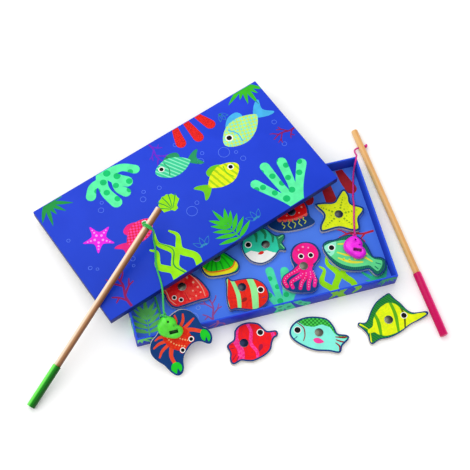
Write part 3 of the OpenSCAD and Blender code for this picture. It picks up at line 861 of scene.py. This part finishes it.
@tile(local(56, -34.5, 2), 1.3)
def octopus(t):
    pink = t.ink("pink", flecks((248, 8, 124), (240, 26, 146), 0.12, 0.5))
    head = oval(6, 13.4, 15.6, 14.6, 20, 40)
    arms = [[(2, 2), (-9, -3), (-19, -6), (-27, -12), (-26, -20)],
            [(2, 0), (-4, -9), (-13, -13), (-20, -16), (-20, -23)],
            [(3, 0), (-1, -12), (-8, -19), (-12, -26)], [(5, 0), (5, -12), (0, -21), (-3, -29)],
            [(6, 1), (9, -9), (9, -17), (5, -27)]]
    t.field([head] + [stroke(a, (4.6, 2.8, 2)) for a in arms], 1, pink)
    pale = t.ink("pale", (255, 150, 200))
    for line in arms:
        t.dots(open_curve(line, 3.1)[3:-1], 0.7, 2, pale)
    t.dots([(6, 23.5), (0, 21), (12, 21)], (1.3, 1, 1), 2, pale)
    t.eye(0.5, 12.5, 3.472, 2.56)
    t.eye(12, 11, 3.472, 2.56)


@tile(local(119.5, -27, 2), 1.5)
def dotted_fish(t):
    t.fill(t.ink("fins", bars((8, 90, 92), (16, 128, 84), 2.4, 1.1, -35)))
    mint = t.ink("mint", (96, 222, 140))
    body = blob([(-32.8, 10), (-25, 12.6), (-16, 13), (-7, 12.2), (2, 9.5), (9, 3), (12.5, -5), (15.5, -14),
                 (20, -20), (27.5, -24), (25, -31), (19, -35.5), (15, -31), (11, -26), (2, -25), (-7, -23.5),
                 (-15, -19.5), (-22, -14), (-28.5, -5), (-32.3, 3)])
    t.field(body, 2, mint)
    inside = both(t.figure, body)
    yellow = t.ink("yellow", (226, 232, 60))
    lines = [[(-16, 9), (-8, 7.5), (-1, 7.5), (8, 0), (13, -12)],
             [(-20, -1), (-12, -6), (-4, -9), (6, -12), (16, -22)],
             [(-21, -8), (-13, -14), (-4, -18), (5, -20)]]
    t.add(both(inside, merged([stroke(line, (0.8, 1.8, 0.9)) for line in lines])), 3, yellow)
    t.dots([(-15, -10.5), (-9, -13.4), (-2.5, -14.4), (3.5, -15.8)], 1.2, 3, yellow)
    t.add(both(inside, [(-60, 30), (-18.5, 30), (-17.5, 12), (-20, 5), (-25, -2), (-33, -6), (-60, -6)]), 3,
          t.ink("head", (150, 240, 206), 0.03))
    t.strokes([[(20, -25), (25, -28)], [(17.5, -29), (20, -33)]], 0.6, 3, t.ink("tail", (20, 130, 96)))
    t.eye(-25, 6.5, 4.032, 3.2)
    t.strokes([[(-32, 2.5), (-30, 2.2), (-28.5, 1)]], 0.4, 4, NAVY)


# -------- plants and animals of the board's print
def frond(x, y, way, length, half):
    """Leaves on both sides of a stem."""
    def foot(share):
        return around(x, y, length * share, way)
    leaves = [leaf(*foot(0.42), way, length * 0.6, half), stroke([(x, y), foot(0.6)], (0.9, 0.7, 0.4))]
    for k in range(5):
        for hand in (-1, 1):
            leaves.append(leaf(*foot(0.06 + 0.11 * k), way + hand * (70 - 9 * k),
                               length * (0.52 - 0.02 * k), half))
    return leaves


def fan(x, y, way, length, half, count, spread):
    """Leaves of uneven lengths from one foot."""
    return [leaf(x, y, way + spread * (k / (count - 1) - 0.5), length * (0.8 + 0.2 * sin(k * 2.1)), half)
            for k in range(count)]


def branches(x, y, way, scale, lines):
    """Strokes given in a plant's own frame, along +X."""
    return [stroke(turned(points, x, y, way, scale), [w * scale for w in widths]) for points, widths in lines]


TWIG = [([(0, 0), (12, 1), (24, -2), (36, 1)], (1.2, 1, 0.7)), ([(8, 0.6), (14, 6), (17, 11)], (1, 0.8, 0.6)),
        ([(14, 0.6), (20, -6), (22, -11)], (1, 0.8, 0.6)), ([(22, -1.6), (28, 5), (30, 11)], (0.9, 0.8, 0.6)),
        ([(27, -1.4), (32, -6), (36, -8)], (0.9, 0.7, 0.5)), ([(14, 6), (11, 10)], (0.8, 0.7, 0.5)),
        ([(20, -6), (26, -9)], (0.8, 0.7, 0.5)), ([(28, 5), (34, 8)], (0.8, 0.7, 0.5))]
LOBES = [([(-6, 0), (10, 1), (24, 7), (34, 16)], (9, 7, 7)),
         ([(4, 0), (18, -9), (34, -12), (52, -8)], (8, 6, 7)), ([(12, 4), (14, 20), (24, 32)], (6, 5, 6)),
         ([(18, -9), (20, -22), (30, -30)], (5, 5, 6)), ([(22, 6), (36, 3), (46, 8)], (5, 5, 6))]
FINGERS = [([(0, 0), (14, way * 8), (30, way * 19), (long, way * 30)], (5, 4.2, 5.4))
           for way, long in ((-1, 44), (-0.42, 56), (0.2, 60), (0.85, 47))]
RIBBONS = [([(-4, 0), (14, 5), (30, -5), (48, 4), (62, 0)], (4, 4.6, 1.2)),
           ([(-4, 15), (12, 10), (26, 19), (40, 11), (47, 15)], (3.6, 4.2, 1.2)),
           ([(-4, -15), (12, -20), (28, -11), (44, -19), (54, -15)], (3.6, 4.4, 1.2))]


def bubble(x, y, radius, line=0.45):
    return less(oval(x, y, radius, n=36), oval(x, y, radius - line, n=36))


def starfish(x, y, radius, turn):
    return blob([around(x, y, radius * (0.46 if k % 2 else 1), turn + 36 * k) for k in range(10)], 4)


def scallop(x, y, radius, turn):
    """A shell with a short hinge and a waved rim."""
    points = [(-0.2, -0.9), (0.2, -0.9), (0.32, -0.62)]
    for k in range(17):
        a = radians(-20 + 27.5 * (k // 2) + 13.7 * (k % 2))
        rx, ry = (0.92, 0.84) if k % 2 else (1, 0.92)
        points.append((rx * cos(a), ry * sin(a)))
    return turned(points + [(-0.32, -0.62)], x, y, turn, radius)


ALMOND = [(0.52, 0), (0.4, 0.17), (0.12, 0.29), (-0.2, 0.23), (-0.45, 0.05), (-0.45, -0.05), (-0.2, -0.23),
          (0.12, -0.29), (0.4, -0.17)]
TAIL = [(-0.4, 0), (-0.62, 0.2), (-0.78, 0.22), (-0.66, 0), (-0.78, -0.22), (-0.62, -0.2)]
BACK_FIN = [(0.2, 0.24), (0, 0.4), (-0.24, 0.36), (-0.22, 0.18)]
GILL = [(0.2, 0.2), (0.14, 0), (0.2, -0.2)]


def simple_fish(p, x, y, way, size, body, fin):
    """A plain fish: an almond, a forked tail, a back fin, a gill line and a round eye."""
    def put(points):
        return turned(points, x, y, way, size, 1 if cos(radians(way)) >= 0 else -1)
    p.add(merged([blob(put(TAIL)), blob(put(BACK_FIN))]), 1, fin)
    p.add(blob(put(ALMOND)), 2, body)
    p.add(stroke(put(GILL), 0.012 * size), 3, fin)
    p.eye(*put([(0.33, 0.06)])[0], 0.0825 * size, 0.057 * size, 4)


LIME = ink("lime_ink", (152, 232, 6))
MINT = ink("mint_ink", (92, 244, 166))
JADE = ink("jade_ink", (10, 196, 110))
LEAF = ink("leaf_ink", (56, 190, 34))
FERN = ink("fern_ink", (30, 150, 66))
CORAL = ink("coral_ink", (142, 16, 92))
SCARLET = ink("scarlet_ink", flecks((240, 36, 26), (206, 14, 24), 0.6, 0.5))
VIOLET = ink("violet_ink", (110, 34, 206))
MAGENTA = ink("magenta_ink", flecks((240, 28, 232), (222, 50, 216), 0.2, 0.52))
PALE = ink("pale_ink", (250, 150, 244))
BUBBLE = ink("bubble_ink", (98, 136, 248))
FAINT = ink("faint_ink", (48, 140, 190))
FLOOR_FERN = ink("floor_fern", (104, 214, 104))
FLOOR_TWIG = ink("floor_twig", (150, 74, 150))
FLOOR_MINT = ink("floor_mint", (74, 226, 170))


def panel(x0, y0, x1, y1):
    return slab([(x0, y0), (x1, y0), (x1, y1), (x0, y1)])


def lid_print():
    p = Print("lid_print", "lid_board", LID, 10.0, panel(-1, -1, 315, 165))
    # plants at the near edge, from the left
    p.field(branches(27, -4, 84, 1.35, TWIG), 1, CORAL)
    p.field(branches(100, -4, 92, 1.06, RIBBONS), 1, LIME)
    p.strokes([[(100, -3), (94, 14), (104, 31), (95, 48)]], (0.8, 0.7, 0.3), 2, FERN)
    p.field(frond(176, -3, 97, 50, 2.7), 1, LEAF)
    fingers = branches(256, -8, 86, 1.12, FINGERS)
    p.field(fingers, 1, MINT)
    p.spots(fingers, [(250, 10, 4.4), (262, 16, 4), (243, 24, 3.6), (258, 30, 3.8), (268, 32, 3.6),
                      (283, 30, 3.8), (236, 38, 3.6), (254, 44, 3.8), (246, 56, 3.6), (276, 47, 3.6),
                      (228, 40, 3.4), (292, 42, 3.4), (270, 60, 3.4)], 2, JADE)
    # plants at the far edge, hanging down from it as seen from the front
    p.field(fan(16, 168, -58, 34, 2.5, 7, 140), 1, FERN)
    lobes = branches(96, 172, -94, 1.0, LOBES)
    p.field(lobes, 1, MINT)
    p.spots(lobes, [(96, 160, 4.4), (86, 152, 4), (104, 150, 4.2), (112, 136, 3.8), (82, 138, 3.8),
                    (96, 140, 3.6), (74, 146, 3.6), (88, 124, 3.6), (120, 146, 3.4),
                    (106, 126, 3.4)], 2, JADE)
    p.field(branches(158, 168, -88, 0.95, TWIG), 1, VIOLET)
    p.strokes([[(x, 170), (x + dx * 0.5, 158), (x + dx, 170 - long)]
               for x, dx, long in ((198, -7, 26), (212, 1, 31), (227, 8, 24))], (3.4, 5, 6.4), 1, SCARLET)
    p.field(fan(300, 170, -112, 36, 2.7, 7, 130), 1, LEAF)
    p.field(branches(320, 84, 178, 0.95, TWIG), 1, CORAL)
    # animals
    p.add(starfish(42, 92, 19, 20), 1, MAGENTA)
    for k in range(5):
        for far, r in ((5, 1.5), (9.6, 1.2), (13.4, 0.9)):
            p.add(oval(*around(42, 92, far, 20 + 72 * k), r, n=16), 2, PALE)
    p.add(scallop(134, 84, 13.5, 12), 1, LIME)
    p.strokes([[(133 + 2 * c, 75 + 2 * s), (134 + 10 * c, 76 + 10 * s), (134 + 19 * c, 77 + 18 * s)]
               for c, s in (around(0, 0, 1, a) for a in range(48, 149, 25))], (0.3, 0.5, 0.6), 2, FERN)
    simple_fish(p, 84, 72, 18, 42, ink("fish_pink", scales((250, 70, 160), (236, 20, 60), 5.2, 20)),
                ink("fin_rose", (236, 30, 130)))
    simple_fish(p, 166, 122, 170, 45, ink("fish_aqua", bars((58, 206, 150), (140, 240, 196), 4.4, 1.5, 30)),
                ink("fin_green", (34, 150, 96)))
    simple_fish(p, 206, 78, 8, 47, ink("fish_sun", bars((232, 242, 18), (170, 214, 14), 7, 2.4, 12, 2)),
                ink("fin_lime", (110, 200, 20)))
    simple_fish(p, 262, 118, 194, 58, ink("fish_mint", scales((140, 236, 200), (206, 236, 90), 6.6, 25)),
                ink("fin_sky", (70, 180, 236)))
    for x, y, r in ((64, 122, 3.4), (70, 130, 2.2), (14, 66, 2.4), (20, 60, 1.8), (112, 106, 3.6),
                    (118, 114, 2.4), (150, 60, 6.5), (161, 66, 2.6), (136, 108, 2.6), (196, 110, 4.2),
                    (204, 118, 2.4), (240, 84, 3.4), (226, 104, 7), (238, 96, 2.2), (60, 48, 3),
                    (300, 104, 3), (184, 146, 2.6), (12, 110, 2.2), (292, 72, 3), (56, 40, 1.8)):
        p.add(bubble(x, y, r), 1, BUBBLE)
    for x, y, way in ((136, 14, 84), (206, 8, 96), (252, 152, -80)):
        for hand in (-1, 0, 1):
            outline = leaf(x + hand * 1.6, y, way - hand * 42, 13, 2.6)
            p.add(less(outline, inset(outline, 0.5)), 1, FAINT)
    p.done()


def floor_print():
    p = Print("tray_print", "tray_board", Matrix(), 2.0, panel(-152.4, -77.4, 152.4, 77.4))
    p.field(frond(-138, -70, 84, 46, 2.5), 1, FLOOR_FERN)
    p.field(branches(-62, -80, 88, 1.05, TWIG), 1, FLOOR_TWIG)
    fingers = branches(20, -84, 88, 0.92, FINGERS)
    p.field(fingers, 2, FLOOR_MINT)
    p.spots(fingers, [(18, -68, 3.6), (27, -62, 3.2), (8, -58, 3.2), (20, -50, 3.2), (34, -50, 3),
                      (0, -48, 3), (14, -38, 3)], 3, JADE)
    p.field(branches(90, -80, 92, 0.9, RIBBONS), 1, LIME)
    p.field(branches(150, -10, 176, 1.15, TWIG), 1, ink("floor_rose", (196, 34, 60)))
    p.strokes([[(x, 80), (x + dx * 0.5, 62), (x + dx, 80 - long)]
               for x, dx, long in ((92, -5, 32), (112, 2, 40), (134, 8, 30))], (4, 6, 7), 1,
              ink("floor_red", (170, 22, 36)))
    p.field(fan(140, -78, 106, 34, 2.3, 6, 90), 1, ink("floor_jade", (40, 190, 130)))
    ring = ink("floor_bubble", (134, 172, 255))
    for x, y, r in ((-84, -62, 5.5), (-76, -52, 2.6), (66, -6, 3), (-128, 30, 3), (94, 8, 2.6),
                    (-14, -66, 2.4)):
        p.add(bubble(x, y, r, 0.5), 4, ring)
    p.done()


def wall_print(name, x, y, turn, half):
    """Print on an outer wall of the tray, with X along the wall and Y up."""
    return Print("tray_" + name + "_print", "tray_board", local(x, y, 0) @ spin(turn) @ spin(90, "X"), 0.0,
                 panel(-half, 0.8, half, 23.2))


def front_print():
    p = wall_print("front", 0, -80, 0, 154)
    p.field(fan(-150, 28, -74, 30, 2.2, 6, 120), 1, FLOOR_FERN)
    p.field([stroke([(-62, 26), (-60, 14), (-64, 4)], 1.2), stroke([(-61, 15), (-54, 10), (-52, 4)], 1),
             stroke([(-60, 18), (-67, 12), (-70, 10)], 1)], 1, FLOOR_TWIG)
    p.field([stroke([(8, 26), (14, 14), (12, -2)], (4, 5, 6)),
             stroke([(20, 26), (24, 12), (28, -2)], (4, 5, 6)),
             stroke([(31, 26), (38, 14), (46, 6)], (4, 4, 5))], 1, ink("wall_mint", (64, 204, 156)))
    p.field([oval(*spot) for spot in ((13, 17, 2.6), (14, 6, 2.6), (24, 11, 2.8), (37, 15, 2.4),
                                      (44, 7, 2.2))], 2, ink("wall_jade", (20, 156, 116)))
    p.field([stroke([(76, 26), (80, 14), (74, 4)], (4, 3.6, 1.2)), stroke([(90, 26), (86, 12), (92, -2)], 4),
             stroke([(104, 26), (108, 15), (102, 5)], (4, 3.6, 1.2))], 1, ink("wall_lime", (116, 190, 14)))
    p.field(fan(142, 28, -84, 26, 2.2, 5, 80), 1, ink("wall_leaf", (36, 150, 110)))
    p.done()


def weeds_print(name, x, y, turn, half):
    """A plain row of three kinds of weed along a wall that the photo doesn't show."""
    p = wall_print(name, x, y, turn, half)
    for k, at in enumerate(range(-half + 16, half - 8, 30)):
        if k % 3 == 0:
            p.field(fan(at, -2, 92, 21, 1.8, 5, 120), 1, FLOOR_FERN)
        elif k % 3 == 1:
            p.field([stroke([(at - 6, -2), (at - 8, 8), (at - 5, 17)], (3.4, 3.2, 2)),
                     stroke([(at + 4, -2), (at + 5, 11), (at + 3, 21)], (4, 3.6, 2.4))], 1, FLOOR_MINT)
        else:
            p.field([stroke([(at, -2), (at + 1, 9), (at - 2, 20)], 1.1),
                     stroke([(at + 1, 7), (at + 7, 11), (at + 9, 17)], 0.9),
                     stroke([(at, 6), (at - 7, 10), (at - 9, 15)], 0.9)], 1, FLOOR_TWIG)
    p.done()


lid_print()
floor_print()
front_print()
weeds_print("back", 0, 80, 180, 154)
weeds_print("left", -155, 0, -90, 79)
weeds_print("right", 155, 0, 90, 79)


# -------- discs and magnets
def steel(name, dark, light, rough):
    f = Finish(name, Metallic=1.0)
    at = f.place()
    fine, soft = f.noise(at, 2.5, 4, 0.6), f.noise(at, 0.05, 1)
    return f.done(f.mix(f.span(soft, 0.42, 0.6), dark, light),
                  f.span(fine, 0.3, 0.7, rough - 0.06, rough + 0.1), fine, 0.03, 0.5)


def steel_discs():
    """Discs with a rounded rim in a painted highlight round a flat face in a painted dark reflection."""
    # Painted highlight: the rim's steel is made much brighter than the face.
    mesh = dressed("steel_disc_faces", "steel_discs",
                   steel("disc_rim_painted_glint", (176, 182, 186), (236, 238, 236), 0.26), edge=0.8, segments=4).data
    # Painted reflection: the flat face's steel is dark, as if it mirrored a dark room.
    mesh.materials.append(steel("disc_face", (36, 46, 72), (108, 110, 98), 0.34))
    ways = Vector((0, 0, 1)), Vector((0, -sin(CRAB_LEAN), cos(CRAB_LEAN)))
    for face in mesh.polygons:
        if max(face.normal.dot(way) for way in ways) > 0.99:
            face.material_index = 1


steel_discs()
for side_name in ("left", "right"):
    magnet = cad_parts[side_name + "_magnet"].data
    magnet.materials.clear()
    magnet.materials.append(steel(side_name + "_magnet_grey", (62, 62, 66), (84, 84, 88), 0.5))


# -------- rods
def rod_matrix(foot, tip):
    """A rod's own frame, with X along it."""
    foot, tip = Vector(foot), Vector(tip)
    return Matrix.Translation(foot * MM) @ (tip - foot).to_track_quat("X", "Z").to_matrix().to_4x4()


LEFT_ROD = rod_matrix((-285, -119, 4.6), (-95.05, 52.29, 65.82))
RIGHT_ROD = rod_matrix((188, -156.8, 5.16), (169.3, 123.9, 4.02))
ROD_TURN = -165  # degrees about a rod, to the direction across it as the camera sees it, along which the painted highlight and shade are laid
STRING_HOLE, TURNS_RADIUS = 238.7, 4.95  # along the left rod, and from its middle to the string on it
PAINTED_SIDE_HALF_WIDTH = 3.4  # half of the width that the painted highlight and painted shade at a rod's sides share


def painted_side_shading(f, at, color, painted_side_tones, share, left, right):
    """Painted highlight and shade: a tone on either side of a rod, each over its own part of the rod's width
    from 0 to 1.
    """
    _, y, z = f.axes(at)
    side = f.span(f.steps(y, z, ROD_TURN), -PAINTED_SIDE_HALF_WIDTH, PAINTED_SIDE_HALF_WIDTH)
    for tone, part in zip(painted_side_tones, (left, right)):
        color = f.mix(f.times(f.span(side, *part), share), color, tone)
    return color


def dowel_wood(name, light, dark, matrix, painted_side_tones, share):
    """Turned wood: long grain and pores, with a painted highlight and painted shade at its sides."""
    f = Finish(name, Specular_IOR_Level=0.45)
    at = f.place(matrix)
    grain = f.noise(f.stretch(at, (0.035, 1, 1)), 0.9, 5, 0.6)
    pore = f.noise(f.stretch(at, (0.12, 1, 1)), 3.5, 3, 0.6)
    color = f.mix(f.span(grain, 0.32, 0.68), dark, light)
    color = f.mix(f.times(f.span(pore, 0.58, 0.72), 0.4), color, shade(dark, 0.8))
    return f.done(painted_side_shading(f, at, color, painted_side_tones, share, (0.42, 0.16), (0.5, 0.8)),
                  f.span(grain, 0.3, 0.7, 0.32, 0.44), f.plus(grain, f.times(pore, 0.5)), 0.06, 0.5)


def sleeve(name, color, matrix, painted_side_tones):
    """Shrunk plastic with fine lengthwise drawing lines, and a painted highlight and painted shade at its
    sides.
    """
    f = Finish(name, Specular_IOR_Level=0.2)
    at = f.place(matrix)
    fine, drawn = f.noise(at, 1.4, 3, 0.5), f.noise(f.stretch(at, (0.03, 1, 1)), 1.2, 2)
    base = f.mix(f.span(drawn, 0.3, 0.7), shade(color, 0.92), shade(color, 1.05))
    return f.done(painted_side_shading(f, at, base, painted_side_tones, 0.9, (0.34, 0.08), (0.48, 0.8)),
                  f.span(fine, 0.3, 0.7, 0.22, 0.32), drawn, 0.05, 0.4)


def rod_turns(turns=2, width=4.2, count=60):
    """Turns of the left string round its rod, over the hole."""
    line = []
    for k in range(count + 1):
        a = 2 * pi * turns * k / count
        p = Vector((STRING_HOLE + width * (k / count - 0.5), TURNS_RADIUS * cos(a), TURNS_RADIUS * sin(a)))
        line.append(LEFT_ROD @ (p * MM) / MM)
    keep(twisted("left_rod_turns", line, TURNS_HALF, TURNS_PITCH, LEFT_STRING))


rod_turns()
# Each rod piece's pair of side tones is painted light and shade, for its left and right side as the camera
# sees it.
dressed("left_dowel_wood", "left_dowel",
        dowel_wood("left_wood", (190, 138, 92), (160, 108, 66), LEFT_ROD,
                   ((250, 226, 198), (116, 68, 32)), 0.95))
dressed("right_dowel_wood", "right_dowel",
        dowel_wood("right_wood", (236, 176, 100), (224, 154, 78), RIGHT_ROD,
                   ((244, 204, 140), (246, 208, 158)), 0.5))
dressed("left_sleeve", "left_grip",
        sleeve("left_sleeve_green", (4, 126, 8), LEFT_ROD, ((116, 242, 92), (0, 76, 2))))
dressed("right_sleeve", "right_grip",
        sleeve("right_sleeve_red", (208, 0, 92), RIGHT_ROD, ((196, 0, 86), (248, 64, 144))))


# -------- lures
def moulding(name, color):
    f = Finish(name, Specular_IOR_Level=0.45, Coat_Weight=0.15, Coat_Roughness=0.15)
    at = f.place()
    fine, soft = f.noise(at, 1.2, 3, 0.5), f.noise(at, 0.15, 2)
    return f.done(f.mix(f.span(soft, 0.3, 0.7), shade(color, 0.92), shade(color, 1.04)),
                  f.span(fine, 0.3, 0.7, 0.28, 0.4), fine, 0.05, 0.4)


# A lure's two recesses in its own frame, and the heights between which their floors lie.
ROUND_X, ROUND_Y, ROUND_RADIUS = 1.2, 6.8, 1.3
LONG_X, LONG_Y, LONG_HALF_X, LONG_HALF_Y = 4.1, -5.8, 5.3, 2.4
LURE_FLOOR, LURE_RIM = 2.4, 0.25


def lure(name, tone, matrix, color, recess_painted_shade):
    """A lure's moulding, with the floors of its round and its long recess in painted shade, a deeper tone."""
    mesh = dressed(name + "_body", name, moulding(name + "_" + tone, color)).data
    # Painted shade on the recess floors.
    mesh.materials.append(moulding(name + "_" + tone + "_recess", recess_painted_shade))
    back = matrix.inverted()
    top = max((back @ v.co).z for v in mesh.vertices) / MM
    for face in mesh.polygons:
        x, y, z = back @ face.center / MM
        in_round = hypot(x - ROUND_X, y - ROUND_Y) < ROUND_RADIUS
        in_long = abs(x - LONG_X) < LONG_HALF_X and abs(y - LONG_Y) < LONG_HALF_Y
        if (in_round or in_long) and LURE_FLOOR < z < top - LURE_RIM:
            face.material_index = 1


# The second colour of each lure is the painted shade of its recesses.
lure("left_lure", "green", CRAB @ local(-5, 7, 5.64) @ spin(4), (78, 222, 40), (6, 92, 14))
lure("right_lure", "pink", local(119.5, -27, 7.62) @ spin(-21), (246, 12, 228), (140, 2, 120))


# -------- floor and light
FLOOR_GLOW = 0.06  # lifts the floor to white for the camera alone
WORLD_STRENGTH = 0.64
LAMPS = (("key", (-1.1, 0.9, 2.4), 3.6, 58), ("fill", (-0.3, -2.0, 1.3), 1.8, 5))


def stage():
    mesh = new_mesh("floor", [(-6, -6, 0), (6, -6, 0), (6, 6, 0), (-6, 6, 0)], [(0, 1, 2, 3)])
    f = Finish("floor_white", Roughness=0.8, Specular_IOR_Level=0.0, Emission_Color=(1, 1, 1, 1))
    white = f.mix(f.noise(f.place(), 0.004, 2), (252, 252, 252), (255, 255, 255))
    f.put(f.shader.inputs["Base Color"], white)
    f.put(f.shader.inputs["Emission Strength"], f.times(f.node("LightPath"), FLOOR_GLOW))
    mesh.materials.append(f.material)
    link("floor", mesh)
    scene.world = bpy.data.worlds.new("studio")
    scene.world.use_nodes = True
    back = scene.world.node_tree.nodes["Background"]
    back.inputs["Color"].default_value = (1, 1, 1, 1)
    back.inputs["Strength"].default_value = WORLD_STRENGTH
    for name, spot, size, watts in LAMPS:
        light = bpy.data.lights.new(name, "AREA")
        light.size, light.energy = size, watts
        lamp = link(name, light)
        lamp.location = spot
        lamp.rotation_euler = (-Vector(spot)).to_track_quat("-Z", "Y").to_euler()


stage()
